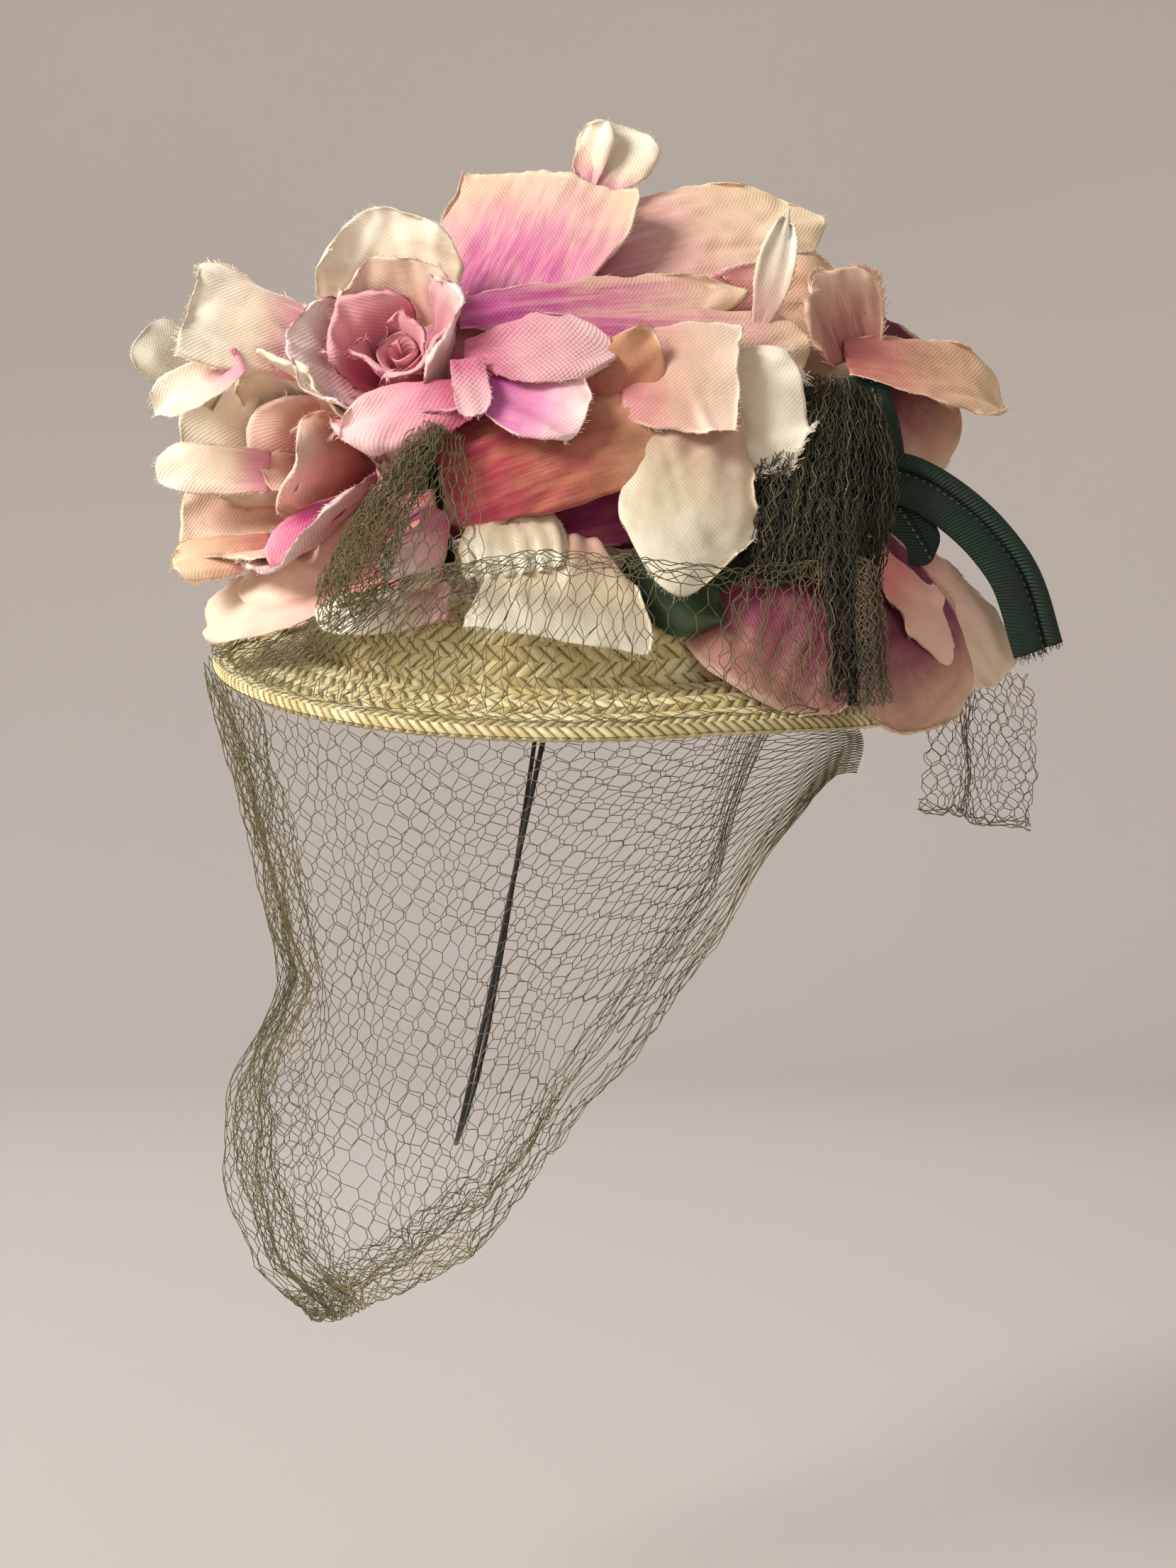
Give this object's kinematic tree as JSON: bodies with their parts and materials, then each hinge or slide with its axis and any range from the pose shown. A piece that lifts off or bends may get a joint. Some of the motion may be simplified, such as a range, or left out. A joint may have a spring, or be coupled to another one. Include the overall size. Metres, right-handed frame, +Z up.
{
  "type": "tilt hat",
  "caption": "Shallow oval straw hat worn tilted, heaped on one side with fabric roses and petals, with a net face veil, a ribbon loop and a chin elastic.",
  "frame": {"origin": "middle of the crown's inner top, where the hat sits on the head", "axes": "+Z up, -Y the way the wearer looks, +X the wearer's left"},
  "size_m": [0.1957, 0.2844, 0.3727],
  "materials": {
    "straw": "glossy plaited straw",
    "net": "open hexagonal silk net",
    "elastic": "braided round elastic",
    "ribbon": "matt ribbed grosgrain",
    "leaf": "matt cotton",
    "cream": "satin",
    "blush": "satin",
    "pink": "dyed cotton satin",
    "streaked": "dyed satin",
    "velvet": "velvet",
    "maroon": "dyed cotton"
  },
  "bodies": {
    "root": {"straw_crown": "straw", "straw_brim": "straw", "rim_braid": "straw", "face_veil": "net", "brim_veil": "net", "veil_tail": "net", "veil_gather_front": "net", "veil_gather_back": "net", "chin_elastic": "elastic", "ribbon_loop": "ribbon", "ribbon_knot": "ribbon", "leaf_low": "leaf", "rose_crest": "cream", "blush_side": "cream", "satin_large": "cream", "satin_mid": "cream", "crest_fluff": "cream", "cream_wing": "cream", "grey_tab": "cream", "white_fold": "cream", "small_cream": "cream", "satin_gather": "cream", "satin_fold": "cream", "satin_skirt": "cream", "far_side": "cream", "rose_tan": "blush", "blush_canopy": "blush", "blush_cup": "blush", "satin_upper": "blush", "streak_under": "blush", "right_wing": "blush", "fringe_tab": "blush", "peach_skirt": "blush", "back_shell": "blush", "pink_rose_heart": "pink", "blush_rose_heart": "pink", "rose_right": "pink", "rose_left": "pink", "rose_low": "pink", "blush_inner": "pink", "blush_low": "pink", "pinch_strip": "pink", "canvas_petal": "pink", "magenta_cup": "pink", "lower_curl": "pink", "bud": "pink", "far_front": "pink", "streak_fold": "streaked", "streak_low": "streaked", "streak_crest": "streaked", "streak_long": "streaked", "far_crest": "streaked", "far_back": "streaked", "velvet_petal": "velvet", "magenta_throat": "maroon", "right_curl": "maroon", "right_shard": "maroon", "back_skirt": "maroon", "back_fall": "maroon", "far_skirt": "maroon"}
  },
  "joints": []
}
